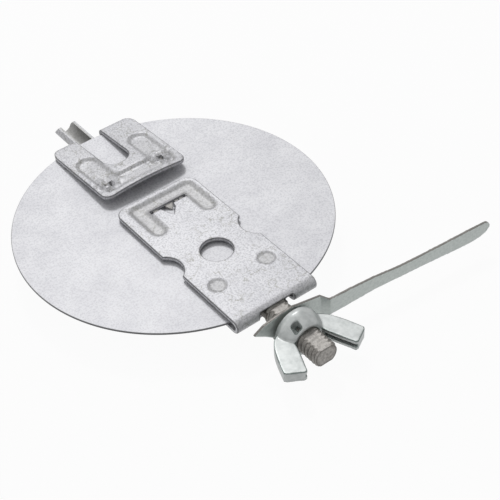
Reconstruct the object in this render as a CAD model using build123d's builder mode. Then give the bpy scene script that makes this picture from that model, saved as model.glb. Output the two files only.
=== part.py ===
from build123d import *
import math
import os

os.makedirs("parts", exist_ok=True)

# Volume control damper, millimetres.
# Origin: the point of the pivot axis under the middle of the blade.
# +X runs along the pivot axis to the handle, +Y along the lever arm, +Z up.

# ---- driving dimensions ----
BLADE_R = 48.4
BLADE_T = 0.7
BLADE_Z = 2.2
SHEET = 1.3
STUD_R = 3.95
STUD_FLAT = 2.9
LEVER_T = 0.9
NUT_T = 1.2
PIN_R = 3.6
SLIDE_GAP = 0.15
THREAD_GAP = 0.05
SEAT_GAP = 1.1

# ---- blade levels ----
BLADE_TOP = BLADE_Z + BLADE_T / 2
BLADE_LOW = BLADE_Z - BLADE_T / 2

# ---- handle clamp ----
HC_W = 27.8
HC_PAD = 0.65
HC_LEAF_LOW = BLADE_TOP + HC_PAD
HC_LEAF_TOP = HC_LEAF_LOW + SHEET
HC_FOLD_X = BLADE_R - 0.2
SPADE_T = 2.25
HC_DECK_TOP = BLADE_LOW - 0.45
POCKET_TOP = BLADE_LOW - SPADE_T
HC_MID_TOP = HC_LEAF_TOP - SHEET / 2
HC_MID_LOW = HC_DECK_TOP - SHEET / 2
HC_FOLD_R = (HC_MID_TOP - HC_MID_LOW) / 2
HC_FOLD_Z = (HC_MID_TOP + HC_MID_LOW) / 2
HC_END_X = BLADE_R - 59.4
HC_LOW_END_X = BLADE_R - 56.4
HC_STEP_X = BLADE_R - 18.4
HC_STEP_RUN = 4.0
HC_SLOT_HALF = STUD_R + 2.15
HC_HOLE_X = BLADE_R - 26.2
HC_HOLE_R = 4.9
HC_NOTCH_X = BLADE_R - 28.65
HC_NOTCH_Y = HC_W / 2 + 3.15
HC_NOTCH_R = 5.95
HC_DIMPLE_X = BLADE_R - 14.2
HC_DIMPLE_Y = 8.65
HC_DIMPLE_R = 2.7
HC_DIMPLE_BALL = (HC_DIMPLE_R ** 2 + HC_PAD ** 2) / (2 * HC_PAD)
HC_BEAD_X0 = HC_END_X + 1.4
HC_BEAD_X1 = HC_END_X + 17.3
HC_BEAD_Y1 = HC_W / 2 - 2.4
HC_BEAD_Y0 = HC_BEAD_Y1 - 5.1
HC_WIN_X0 = HC_BEAD_X0 + 4.7
HC_WIN_X1 = HC_WIN_X0 + 1.4
BARB_REACH = 2.6
BARB_SHIFT = 0.6
BARB_W = 3.6
SIDE_BARB_Y = 5.2
SIDE_BARB_W = 2.0

HEAD_X0 = HC_STEP_X + 1.6
HEAD_X1 = HEAD_X0 + 6.4
HEAD_HALF = 11.0
HEAD_GAP = 0.2
POCKET_RIM = 1.5

# ---- pivot clamp ----
PC_W = 30.0
PC_SHIFT = 2.0
PC_SLOT_SHIFT = 0.9
LEAF_HALF = PC_W / 2 + 0.5
PC_FOLD_X = 0.1 - BLADE_R
PC_FOLD_IN = BLADE_T / 2
PC_FOLD_R = PC_FOLD_IN + SHEET
PC_FOLD_MID = PC_FOLD_IN + SHEET / 2
PC_LEAF_TOP = BLADE_Z + PC_FOLD_R
PC_NEAR_X = PC_FOLD_X + 32.3
PC_NEAR_TOP = PC_LEAF_TOP + 2.0
PC_CROWN = 1.2
PC_LOW_END_X = PC_FOLD_X + 28.0
PC_SLOT_HALF = PIN_R + 0.95
PC_SLOT_END_X = PC_FOLD_X + 19.65
PC_BEAD_D = 1.0
PC_BEAD_Y = 9.6
PC_BEAD_W = 7.0
PC_BEAD_X0 = PC_FOLD_X + 9.65
PC_BEAD_X1 = PC_NEAR_X - 2.2
PC_LANCE_X = PC_FOLD_X + 25.65
LANCE_W = 3.0
PIN_WALL = SHEET - 0.2
PIN_RIM_Z = BLADE_LOW - 0.1
PIN_ROOT_X = -BLADE_R - 0.9
PIN_END_X = -BLADE_R - 15.2
PIN_RIM_END_X = PIN_END_X + 2.4
SCOOP_X = -BLADE_R + 6.4

# ---- stud ----
STUD_X0 = BLADE_R + 0.4
STUD_X1 = BLADE_R + 22.6
STUD_CHAMFER = 1.0

# ---- lever ----
LEVER_X = BLADE_R + 6.6
LEVER_FRONT = LEVER_X + LEVER_T
LEVER_HUB_R = STUD_R + 2.25
ARM_OUT = 2.0

# ---- wing nut ----
NUT_X0 = LEVER_FRONT + SEAT_GAP
NUT_BORE = STUD_R + THREAD_GAP
NUT_BASE_R = NUT_BORE + 2.6
NUT_BELLY_R = NUT_BORE + 3.0
NUT_NECK_R = NUT_BORE + 0.9
NUT_BELLY_X = NUT_X0 + 1.6
NUT_THREAD_X = NUT_X0 + 3.0
NUT_X1 = NUT_X0 + 6.4
WING_HALF = NUT_T + 0.45
WING_TILT = -2.5


# ================= blade =================
with BuildPart() as blade:
    with BuildSketch(Plane.XY.offset(BLADE_LOW)):
        Circle(BLADE_R)
    extrude(amount=BLADE_T)
blade.part.label = "blade"
export_step(blade.part, "parts/blade.step")


# ================= handle clamp =================
# barbs torn from the window edge, bent down to bite the blade
with BuildPart() as barbs:
    with BuildSketch(Plane.XZ):
        with BuildLine():
            Polyline(
                (HC_WIN_X0 - 0.6, HC_LEAF_LOW + 0.5),
                (HC_WIN_X0 + 0.2, HC_LEAF_LOW + 0.5),
                (HC_WIN_X0 + BARB_REACH, BLADE_TOP),
                (HC_WIN_X0 + BARB_REACH - 1.6, BLADE_TOP),
                (HC_WIN_X0 - 0.6, BLADE_TOP + 0.3),
                close=True,
            )
        make_face()
    extrude(amount=HC_BEAD_Y1, both=True)
    with BuildSketch(Plane.XY):
        for barb_y, barb_w in (
            (BARB_SHIFT, BARB_W),
            (-SIDE_BARB_Y, SIDE_BARB_W),
            (SIDE_BARB_Y, SIDE_BARB_W),
        ):
            with BuildLine():
                Polyline(
                    (HC_WIN_X0 - 0.7, barb_y - barb_w / 2),
                    (HC_WIN_X0, barb_y - barb_w / 2),
                    (HC_WIN_X0 + BARB_REACH, barb_y),
                    (HC_WIN_X0, barb_y + barb_w / 2),
                    (HC_WIN_X0 - 0.7, barb_y + barb_w / 2),
                    close=True,
                )
            make_face()
    extrude(amount=10, mode=Mode.INTERSECT)

with BuildPart() as handle_clamp:
    # folded sheet run: top leaf, fold, lower leaf that steps up to the blade
    with BuildSketch(Plane.XZ):
        with BuildLine():
            Line((HC_END_X, HC_MID_TOP), (HC_FOLD_X, HC_MID_TOP))
            ThreePointArc(
                (HC_FOLD_X, HC_MID_TOP),
                (HC_FOLD_X + HC_FOLD_R, HC_FOLD_Z),
                (HC_FOLD_X, HC_MID_LOW),
            )
            Polyline(
                (HC_FOLD_X, HC_MID_LOW),
                (HC_STEP_X, HC_MID_LOW),
                (HC_STEP_X - HC_STEP_RUN, BLADE_LOW - SHEET / 2),
                (HC_LOW_END_X, BLADE_LOW - SHEET / 2),
            )
        trace(line_width=SHEET)
    extrude(amount=HC_W / 2, both=True)
    # T-shaped pocket pressed down round the stud's spade and head
    with BuildSketch(Plane.XY.offset(POCKET_TOP - SHEET)):
        with Locations(((HEAD_X0 + HEAD_X1) / 2, 0)):
            Rectangle(HEAD_X1 - HEAD_X0 + 2 * POCKET_RIM, 2 * (HEAD_HALF + POCKET_RIM))
        with Locations(((HEAD_X1 + HC_FOLD_X) / 2, 0)):
            Rectangle(HC_FOLD_X - HEAD_X1, 2 * (STUD_R + POCKET_RIM))
    extrude(amount=HC_DECK_TOP - POCKET_TOP)
    with BuildSketch(Plane.XY.offset(POCKET_TOP)):
        with Locations(((HEAD_X0 + HEAD_X1) / 2, 0)):
            Rectangle(HEAD_X1 - HEAD_X0 + 2 * HEAD_GAP, 2 * (HEAD_HALF + HEAD_GAP))
        with Locations(((HEAD_X1 + HC_FOLD_X) / 2, 0)):
            Rectangle(HC_FOLD_X - HEAD_X1, 2 * (STUD_R + HEAD_GAP))
    extrude(amount=BLADE_TOP - POCKET_TOP, mode=Mode.SUBTRACT)
    # rounded far corners
    with BuildSketch(Plane.XY.offset(HC_MID_LOW - 5)):
        with Locations(((HC_END_X + HC_FOLD_X + 10) / 2, 0)):
            far_plan = Rectangle(HC_FOLD_X + 10 - HC_END_X, HC_W)
        fillet(far_plan.vertices().group_by(Axis.X)[0], radius=3.8)
    extrude(amount=20, mode=Mode.INTERSECT)
    # slot through the fold and the lower leaf for the stud
    with BuildSketch(Plane.XY.offset(HC_MID_LOW - 5)):
        with Locations((HC_FOLD_X + 4, 0)):
            Rectangle(10, 2 * HC_SLOT_HALF)
    extrude(amount=HC_LEAF_TOP - 0.8 - (HC_MID_LOW - 5), mode=Mode.SUBTRACT)
    # round hole and side notches, top leaf only
    with BuildSketch(Plane.XY.offset(HC_LEAF_LOW)):
        with Locations((HC_HOLE_X, 0)):
            Circle(HC_HOLE_R)
        with Locations((HC_NOTCH_X, HC_NOTCH_Y), (HC_NOTCH_X, -HC_NOTCH_Y)):
            Circle(HC_NOTCH_R)
    extrude(amount=SHEET, mode=Mode.SUBTRACT)
    # pressed U bead: standing under the leaf, sunk into its top
    with BuildSketch(Plane.XY.offset(HC_LEAF_LOW)) as bead_plan:
        with Locations(((HC_BEAD_X0 + HC_BEAD_X1) / 2, 0)):
            Rectangle(HC_BEAD_X1 - HC_BEAD_X0, 2 * HC_BEAD_Y1)
        with Locations(((HC_WIN_X0 + HC_BEAD_X1) / 2 + 1, 0)):
            Rectangle(HC_BEAD_X1 - HC_WIN_X0 + 2, 2 * HC_BEAD_Y0, mode=Mode.SUBTRACT)
        fillet(bead_plan.vertices().group_by(Axis.X)[-1], radius=2.4)
        fillet(bead_plan.vertices().group_by(Axis.X)[0], radius=3.0)
    extrude(amount=-HC_PAD)
    with BuildSketch(Plane.XY.offset(HC_LEAF_TOP)):
        offset(bead_plan.sketch.moved(Location((0, 0, 0))), amount=-0.35)
    extrude(amount=-HC_PAD, mode=Mode.SUBTRACT, taper=20)
    # window between the bead and the tongue, with the notch in the tongue
    with BuildSketch(Plane.XY.offset(HC_LEAF_LOW)):
        with Locations(((HC_WIN_X0 + HC_WIN_X1) / 2, 0)):
            Rectangle(HC_WIN_X1 - HC_WIN_X0, 2 * HC_BEAD_Y0)
        with Locations(((HC_WIN_X0 + HC_WIN_X1 + 2.2) / 2, -1.4)):
            Rectangle(HC_WIN_X1 - HC_WIN_X0 + 2.2, 6.0)
    extrude(amount=SHEET, mode=Mode.SUBTRACT)
    # dimples pressed down to the blade
    with Locations((HC_DIMPLE_X, HC_DIMPLE_Y, BLADE_TOP), (HC_DIMPLE_X, -HC_DIMPLE_Y, BLADE_TOP)):
        Cone(HC_DIMPLE_R - 1.1, HC_DIMPLE_R, HC_PAD, align=(Align.CENTER, Align.CENTER, Align.MIN))
    with Locations(
        (HC_DIMPLE_X, HC_DIMPLE_Y, HC_LEAF_TOP - HC_PAD + HC_DIMPLE_BALL),
        (HC_DIMPLE_X, -HC_DIMPLE_Y, HC_LEAF_TOP - HC_PAD + HC_DIMPLE_BALL),
    ):
        Sphere(HC_DIMPLE_BALL, mode=Mode.SUBTRACT)
    add(barbs.part)
handle_clamp.part.label = "handle_clamp"
export_step(handle_clamp.part, "parts/handle_clamp.step")


# ================= pivot clamp =================
# top leaf: flat at the fold, crowned at its open end
with BuildPart() as leaf:
    for leaf_x, edge_z, crown in (
        (PC_FOLD_X, PC_LEAF_TOP, 0.02),
        (PC_NEAR_X + 1, PC_NEAR_TOP, PC_CROWN),
    ):
        with BuildSketch(Plane((leaf_x, PC_SHIFT, 0), x_dir=(0, 1, 0), z_dir=(1, 0, 0))):
            with BuildLine():
                ThreePointArc((-LEAF_HALF, edge_z), (0, edge_z + crown), (LEAF_HALF, edge_z))
                Line((LEAF_HALF, edge_z), (LEAF_HALF, edge_z - SHEET))
                ThreePointArc(
                    (LEAF_HALF, edge_z - SHEET),
                    (0, edge_z + crown - SHEET),
                    (-LEAF_HALF, edge_z - SHEET),
                )
                Line((-LEAF_HALF, edge_z - SHEET), (-LEAF_HALF, edge_z))
            make_face()
    loft()

# the outline of the pressed U bead as a tall prism, for the sink and the swell
with BuildPart() as bead_prism:
    with BuildSketch(Plane((0, PC_SHIFT, 0))) as bead_outline:
        for side in (-1, 1):
            with Locations(((PC_BEAD_X0 + PC_BEAD_X1) / 2, side * PC_BEAD_Y)):
                Rectangle(PC_BEAD_X1 - PC_BEAD_X0, PC_BEAD_W)
        with Locations((PC_BEAD_X1 - 3.0, 0)):
            Rectangle(6.0, 2 * PC_BEAD_Y)
        fillet(bead_outline.vertices().group_by(Axis.X)[0], radius=3.3)
        fillet(bead_outline.vertices().group_by(Axis.X)[-1], radius=3.0)
    extrude(amount=12)

with BuildPart() as leaf_swell:
    add(leaf.part.moved(Location((0, 0, -PC_BEAD_D))))
    add(bead_prism.part, mode=Mode.INTERSECT)
    with BuildSketch(Plane.XY.offset(BLADE_TOP)):
        with Locations((PC_FOLD_X, 0)):
            Rectangle(100, 60)
    extrude(amount=-8, mode=Mode.SUBTRACT)

with BuildPart() as bead_sink:
    add(bead_prism.part)
    with BuildSketch(Plane.XY):
        with Locations((PC_FOLD_X, 0)):
            Rectangle(100, 60)
    extrude(amount=PC_LEAF_TOP - SHEET - 1.4, mode=Mode.SUBTRACT)
    add(leaf.part.moved(Location((0, 0, -PC_BEAD_D))), mode=Mode.SUBTRACT)
    add(leaf.part.moved(Location((0, 0, -PC_BEAD_D - SHEET + 0.1))), mode=Mode.SUBTRACT)

with BuildPart() as lances:
    with BuildSketch(Plane.XZ):
        with BuildLine():
            Polyline(
                (PC_LANCE_X - 2.2, BLADE_TOP + 2.2),
                (PC_LANCE_X - 0.9, BLADE_TOP + 2.2),
                (PC_LANCE_X + 1.1, BLADE_TOP),
                (PC_LANCE_X - 0.3, BLADE_TOP),
                close=True,
            )
        make_face()
    extrude(amount=PC_W, both=True)
    with BuildSketch(Plane.XY):
        with Locations((PC_LANCE_X, PC_SHIFT - PC_BEAD_Y), (PC_LANCE_X, PC_SHIFT + PC_BEAD_Y)):
            Rectangle(8, LANCE_W)
    extrude(amount=12, mode=Mode.INTERSECT)

with BuildPart() as pivot_clamp:
    # tight fold round the rim and the lower leaf under the blade
    with BuildSketch(Plane.XZ.offset(-PC_SHIFT)):
        with BuildLine():
            Line((PC_LOW_END_X, BLADE_Z - PC_FOLD_MID), (PC_FOLD_X, BLADE_Z - PC_FOLD_MID))
            ThreePointArc(
                (PC_FOLD_X, BLADE_Z - PC_FOLD_MID),
                (PC_FOLD_X - PC_FOLD_MID, BLADE_Z),
                (PC_FOLD_X, BLADE_Z + PC_FOLD_MID),
            )
        trace(line_width=SHEET)
    extrude(amount=LEAF_HALF, both=True)
    add(leaf.part)
    # rounded corners at both ends
    with BuildSketch(Plane.XY.offset(-3)) as pivot_plan:
        with Locations(((PC_FOLD_X - PC_FOLD_R + PC_NEAR_X) / 2, PC_SHIFT)):
            Rectangle(PC_NEAR_X - PC_FOLD_X + PC_FOLD_R, PC_W)
        fillet(pivot_plan.vertices().group_by(Axis.X)[0], radius=4.5)
        fillet(pivot_plan.vertices().group_by(Axis.X)[-1], radius=3.0)
    extrude(amount=15, mode=Mode.INTERSECT)
    # slot through the fold and up the top leaf
    with BuildSketch(Plane.XY.offset(BLADE_Z)) as leaf_slot:
        with Locations(((PC_FOLD_X - 6 + PC_SLOT_END_X) / 2, PC_SLOT_SHIFT)):
            Rectangle(PC_SLOT_END_X - PC_FOLD_X + 6, 2 * PC_SLOT_HALF)
        fillet(leaf_slot.vertices().group_by(Axis.X)[-1], radius=3.4)
    extrude(amount=8, mode=Mode.SUBTRACT)
    with BuildSketch(Plane.XY.offset(-3)):
        with Locations((PC_FOLD_X - 3, PC_SLOT_SHIFT)):
            Rectangle(6, 2 * PC_SLOT_HALF)
    extrude(amount=10, mode=Mode.SUBTRACT)
    # scoop and half-tube pivot pin, outside
    for scoop_x, rim_half, rim_z, floor_z in (
        (SCOOP_X, PIN_R + 0.3, PIN_RIM_Z - 0.1, PIN_RIM_Z - SHEET - 0.02),
        (PIN_ROOT_X, math.sqrt(PIN_R ** 2 - PIN_RIM_Z ** 2), PIN_RIM_Z, -PIN_R),
    ):
        with BuildSketch(Plane.YZ.offset(scoop_x)):
            with BuildLine():
                ThreePointArc((-rim_half, rim_z), (0, floor_z), (rim_half, rim_z))
                Line((rim_half, rim_z), (-rim_half, rim_z))
            make_face()
    loft()
    with BuildSketch(Plane.YZ.offset(PIN_ROOT_X)):
        Circle(PIN_R)
        with Locations((0, PIN_RIM_Z + 5)):
            Rectangle(20, 10, mode=Mode.SUBTRACT)
    extrude(amount=PIN_END_X - PIN_ROOT_X)
    # scoop and pin, inside
    for scoop_x, rim_half, rim_z, floor_z in (
        (SCOOP_X, PIN_R - 1.0, BLADE_LOW, BLADE_LOW - 0.05),
        (PIN_ROOT_X, math.sqrt((PIN_R - PIN_WALL) ** 2 - PIN_RIM_Z ** 2), BLADE_LOW, PIN_WALL - PIN_R),
    ):
        with BuildSketch(Plane.YZ.offset(scoop_x)):
            with BuildLine():
                ThreePointArc((-rim_half, rim_z), (0, floor_z), (rim_half, rim_z))
                Line((rim_half, rim_z), (-rim_half, rim_z))
            make_face()
    loft(mode=Mode.SUBTRACT)
    with BuildSketch(Plane.YZ.offset(PIN_ROOT_X)):
        Circle(PIN_R - PIN_WALL)
    extrude(amount=PIN_END_X - PIN_ROOT_X, mode=Mode.SUBTRACT)
    # the pin's tip is longer below than at its rims
    with BuildSketch(Plane.XZ):
        with BuildLine():
            Polyline(
                (PIN_END_X, -PIN_R / 2),
                (PIN_END_X - 3, -PIN_R / 2),
                (PIN_END_X - 3, PIN_RIM_Z + 2),
                (PIN_RIM_END_X, PIN_RIM_Z + 2),
                (PIN_RIM_END_X, PIN_RIM_Z),
            )
            ThreePointArc(
                (PIN_RIM_END_X, PIN_RIM_Z),
                (PIN_END_X + 0.7, 0.5),
                (PIN_END_X, -PIN_R / 2),
            )
        make_face()
    extrude(amount=2 * PIN_R, both=True, mode=Mode.SUBTRACT)
    # pressed U bead
    add(bead_sink.part, mode=Mode.SUBTRACT)
    add(leaf_swell.part)
    # pierced lances pointing down to the blade
    with BuildSketch(Plane.XY.offset(BLADE_TOP)):
        for side in (-1, 1):
            with BuildLine():
                Polyline(
                    (PC_LANCE_X - 1.3, PC_SHIFT + side * PC_BEAD_Y - LANCE_W / 2),
                    (PC_LANCE_X + 1.3, PC_SHIFT + side * PC_BEAD_Y),
                    (PC_LANCE_X - 1.3, PC_SHIFT + side * PC_BEAD_Y + LANCE_W / 2),
                    close=True,
                )
            make_face()
    extrude(amount=8, mode=Mode.SUBTRACT)
    add(lances.part)
pivot_clamp.part.label = "pivot_clamp"
export_step(pivot_clamp.part, "parts/pivot_clamp.step")


# ================= stud =================
with BuildPart() as stud:
    with BuildSketch(Plane.XY):
        with BuildLine():
            Polyline(
                (STUD_X0, 0),
                (STUD_X0, STUD_R),
                (STUD_X1 - STUD_CHAMFER, STUD_R),
                (STUD_X1, STUD_R - STUD_CHAMFER),
                (STUD_X1, 0),
                close=True,
            )
        make_face()
    revolve(axis=Axis.X)
    with Locations(((STUD_X0 + STUD_X1) / 2, 0, 0)):
        Box(STUD_X1 - STUD_X0 + 2, 4 * STUD_R, 2 * STUD_FLAT, mode=Mode.INTERSECT)
    # spade and T head, held between the blade and the lower leaf
    with BuildSketch(Plane.XY.offset(POCKET_TOP)) as spade_plan:
        with Locations(((HEAD_X1 + STUD_X0) / 2, 0)):
            Rectangle(STUD_X0 - HEAD_X1 + 2, 2 * STUD_R)
        with Locations(((HEAD_X0 + HEAD_X1) / 2, 0)):
            Rectangle(HEAD_X1 - HEAD_X0, 2 * HEAD_HALF)
        fillet(spade_plan.vertices().group_by(Axis.X)[0], radius=1.5)
    extrude(amount=SPADE_T)
stud.part.label = "stud"
export_step(stud.part, "parts/stud.step")


# ================= lever =================
with BuildPart() as lever:
    # sheet run seen from above
    with BuildSketch(Plane.XY.offset(-10)):
        with BuildLine():
            Polyline(
                (LEVER_X + LEVER_T / 2, -13.5),
                (LEVER_X + LEVER_T / 2, 10.8),
                (LEVER_X + LEVER_T / 2 + ARM_OUT, 12.7),
                (LEVER_X + LEVER_T / 2 + ARM_OUT + 0.4, 20.0),
                (LEVER_X + LEVER_T / 2 + ARM_OUT + 0.9, 28.0),
                (LEVER_X + LEVER_T / 2 + ARM_OUT + 2.1, 37.0),
                (LEVER_X + LEVER_T / 2 + ARM_OUT + 5.2, 70.0),
            )
        trace(line_width=LEVER_T)
    extrude(amount=20)
    # side silhouette
    with BuildSketch(Plane.YZ.offset(LEVER_X - 2)) as silhouette:
        with BuildLine():
            Polyline((-12.4, 3.4), (-9.1, 5.2), (-3.0, 6.1), (0.6, 6.1), (10.8, 3.9), (12.5, 2.9))
            Spline((12.5, 2.9), (27, 2.4), (37, 2.05), (44, 2.1), (51, 2.25), (58.5, 2.5), (67.0, 2.7))
            ThreePointArc((67.0, 2.7), (68.6, 2.05), (69.1, 0.6))
            Spline((69.1, 0.6), (68.0, -0.9), (65.3, -2.0), (61.0, -2.5), (57.0, -2.5))
            Spline((57.0, -2.5), (51, -2.25), (44, -2.1), (37, -2.05), (27, -2.4), (20, -2.7), (12.5, -2.9))
            Polyline((12.5, -2.9), (10.8, -3.5), (-4.3, -4.4), (-6.2, -1.2), (-8.7, 0.9), (-12.4, 3.4))
        make_face()
        Circle(LEVER_HUB_R)
    extrude(amount=20, mode=Mode.INTERSECT)
    # double-D hole that keys the lever to the stud
    with BuildSketch(Plane.YZ.offset(LEVER_X - 2)):
        Circle(STUD_R + SLIDE_GAP)
        with Locations((0, STUD_FLAT + SLIDE_GAP + 5), (0, -STUD_FLAT - SLIDE_GAP - 5)):
            Rectangle(20, 10, mode=Mode.SUBTRACT)
    extrude(amount=10, mode=Mode.SUBTRACT)
lever.part.label = "lever"
export_step(lever.part, "parts/lever.step")


# ================= wing nut =================
# swept wings, folded channels that open towards the axis
with BuildPart() as wings:
    with BuildSketch(Plane.XY.offset(-WING_HALF)):
        with BuildLine():
            Spline(
                (NUT_X0 + 0.4, NUT_BORE + 2.0),
                (NUT_X0 + 2.9, NUT_BORE + 5.2),
                (NUT_X0 + 6.1, NUT_BORE + 7.2),
                (NUT_X0 + 9.6, NUT_BORE + 8.7),
                (NUT_X0 + 13.2, NUT_BORE + 10.0),
            )
            Polyline(
                (NUT_X0 + 13.2, NUT_BORE + 10.0),
                (NUT_X0 + 14.0, NUT_BORE + 9.4),
                (NUT_X0 + 16.4, NUT_BORE + 5.2),
                (NUT_X0 + 16.2, NUT_BORE + 4.4),
                (NUT_X0 + 12.7, NUT_BORE + 2.9),
                (NUT_X0 + 9.2, NUT_BORE + 1.5),
                (NUT_X0 + 6.1, NUT_BORE + 0.5),
                (NUT_X0 + 3.4, NUT_BORE + 0.5),
                (NUT_X0 + 0.4, NUT_BORE + 2.0),
            )
        make_face()
    extrude(amount=2 * WING_HALF)
    with BuildSketch(Plane.XY.offset(-WING_HALF + NUT_T)):
        with BuildLine():
            Polyline(
                (NUT_X0 + 6.4, NUT_BORE + 5.6),
                (NUT_X0 + 13.2, NUT_BORE + 8.4),
                (NUT_X0 + 14.8, NUT_BORE + 5.4),
                (NUT_X0 + 18.0, NUT_BORE + 4.0),
                (NUT_X0 + 10.0, NUT_BORE - 1.0),
                (NUT_X0 + 6.6, NUT_BORE + 1.7),
                close=True,
            )
        make_face()
    extrude(amount=2 * WING_HALF - 2 * NUT_T, mode=Mode.SUBTRACT)
    mirror(about=Plane.XZ)

with BuildPart() as wing_nut:
    # domed hub, hollow at its base, with the threaded neck in front
    with BuildSketch(Plane.XY):
        with BuildLine():
            Polyline((NUT_X0, NUT_BASE_R - NUT_T), (NUT_X0, NUT_BASE_R), (NUT_BELLY_X, NUT_BELLY_R))
            ThreePointArc(
                (NUT_BELLY_X, NUT_BELLY_R),
                (NUT_BELLY_X + 2.4, NUT_BELLY_R - 0.6),
                (NUT_X1 - 0.5, NUT_NECK_R + 0.5),
            )
            Polyline(
                (NUT_X1 - 0.5, NUT_NECK_R + 0.5),
                (NUT_X1, NUT_NECK_R),
                (NUT_X1, 0),
                (NUT_THREAD_X, 0),
                (NUT_THREAD_X, NUT_BORE + 0.5),
                (NUT_BELLY_X, NUT_BELLY_R - NUT_T),
                (NUT_X0, NUT_BASE_R - NUT_T),
            )
        make_face()
    revolve(axis=Axis.X)
    add(wings.part.rotate(Axis.X, WING_TILT))
    # small window pressed through the hub beside a wing root
    with BuildSketch(Plane.XY.offset(NUT_BORE - 0.5)):
        with Locations((NUT_X0 + 4.2, -2.6)):
            Rectangle(1.6, 1.4)
    extrude(amount=NUT_BELLY_R, mode=Mode.SUBTRACT)
    # bore
    with BuildSketch(Plane.YZ.offset(NUT_X0 - 1)):
        Circle(NUT_BORE)
    extrude(amount=20, mode=Mode.SUBTRACT)
wing_nut.part.label = "wing_nut"
export_step(wing_nut.part, "parts/wing_nut.step")
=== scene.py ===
import math

import bmesh
import bpy
import numpy as np
from mathutils import Matrix, Vector, noise
from mathutils.geometry import delaunay_2d_cdt


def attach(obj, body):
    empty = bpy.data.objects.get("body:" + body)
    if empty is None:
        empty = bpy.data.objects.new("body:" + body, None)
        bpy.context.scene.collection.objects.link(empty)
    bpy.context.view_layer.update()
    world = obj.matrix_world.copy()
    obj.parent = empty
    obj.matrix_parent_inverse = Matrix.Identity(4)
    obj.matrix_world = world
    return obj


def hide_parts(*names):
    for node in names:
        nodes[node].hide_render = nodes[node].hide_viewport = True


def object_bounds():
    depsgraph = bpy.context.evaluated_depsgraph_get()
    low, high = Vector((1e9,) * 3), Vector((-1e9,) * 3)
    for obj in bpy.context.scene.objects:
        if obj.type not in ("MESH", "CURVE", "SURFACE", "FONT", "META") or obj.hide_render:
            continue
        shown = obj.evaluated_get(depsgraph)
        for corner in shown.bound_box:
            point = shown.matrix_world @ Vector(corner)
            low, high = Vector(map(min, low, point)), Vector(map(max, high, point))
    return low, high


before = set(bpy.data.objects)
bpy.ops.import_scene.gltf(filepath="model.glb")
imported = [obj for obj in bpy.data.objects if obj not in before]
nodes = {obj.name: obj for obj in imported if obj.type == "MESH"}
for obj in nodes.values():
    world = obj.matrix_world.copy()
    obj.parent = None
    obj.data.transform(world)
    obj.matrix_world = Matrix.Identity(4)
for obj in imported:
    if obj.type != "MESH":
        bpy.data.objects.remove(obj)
cad_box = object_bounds()

MM = 0.001

# ---------------------------------------------------------------- sizes, mm
BLADE_R = 48.4
BLADE_TOP = 2.55
BLADE_LOW = 1.85
# the clamps' sheet, the corners cut off their lower leaves, and the step of the mesh over them
SHEET = 1.3
LEAF_CUT = 1.0
SHEET_STEP = 0.55
# the air left where a barb or a lance meets the blade
CONTACT = 0.02
STUD_R = 3.95
STUD_FLAT = 2.9
STUD_X0 = 48.8
STUD_X1 = 71.0
THREAD_PITCH = 25.4 / 18
THREAD_DEPTH = 0.62

# ---------------------------------------------------------------- camera
# angles in radians, aim and lens in mm
CAMERA_AZ = 0.963
CAMERA_EL = 0.744
CAMERA_ROLL = -0.071
CAMERA_DISTANCE = 371.77 * MM
CAMERA_TARGET = Vector((26.67, 8.43, 2.2)) * MM
CAMERA_LENS = 92.57

back = Vector((
    math.sin(CAMERA_AZ) * math.cos(CAMERA_EL),
    -math.cos(CAMERA_AZ) * math.cos(CAMERA_EL),
    math.sin(CAMERA_EL),
))
side = Vector((0, 0, 1)).cross(back).normalized()
up = back.cross(side)
view_x = math.cos(CAMERA_ROLL) * side + math.sin(CAMERA_ROLL) * up
view_y = math.cos(CAMERA_ROLL) * up - math.sin(CAMERA_ROLL) * side
camera_data = bpy.data.cameras.new("camera")
camera_data.lens = CAMERA_LENS
camera_data.sensor_width = 36
camera_data.clip_start = 0.01
camera_data.clip_end = 20
camera = bpy.data.objects.new("camera", camera_data)
bpy.context.scene.collection.objects.link(camera)
turn = Matrix((view_x, view_y, back)).transposed().to_4x4()
camera.matrix_world = Matrix.Translation(CAMERA_TARGET + back * CAMERA_DISTANCE) @ turn
bpy.context.scene.camera = camera
bpy.context.scene.view_settings.view_transform = "Standard"


# ---------------------------------------------------------------- node helpers
def linear(hex_code):
    """An sRGB hex colour as linear RGBA."""
    channels = [int(hex_code[i:i + 2], 16) / 255 for i in (1, 3, 5)]
    plain = [c / 12.92 if c <= 0.04045 else ((c + 0.055) / 1.055) ** 2.4 for c in channels]
    return (*plain, 1.0)


def add_node(tree, kind, settings=None, inputs=None):
    """Adds a node; settings are its attributes, inputs are values or (node, output) links."""
    node = tree.nodes.new(kind)
    for key, value in (settings or {}).items():
        setattr(node, key, value)
    for key, value in (inputs or {}).items():
        if isinstance(value, tuple) and len(value) == 2 and isinstance(value[0], bpy.types.Node):
            tree.links.new(value[0].outputs[value[1]], node.inputs[key])
        else:
            node.inputs[key].default_value = value
    return node


def ramp(tree, source, stops, output="Color"):
    """A colour ramp fed by (node, output), with (position, colour) stops."""
    node = add_node(tree, "ShaderNodeValToRGB", inputs={"Fac": source})
    elements = node.color_ramp.elements
    while len(elements) < len(stops):
        elements.new(0.5)
    for element, (position, colour) in zip(elements, stops):
        element.position = position
        element.color = colour
    return (node, output)


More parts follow.
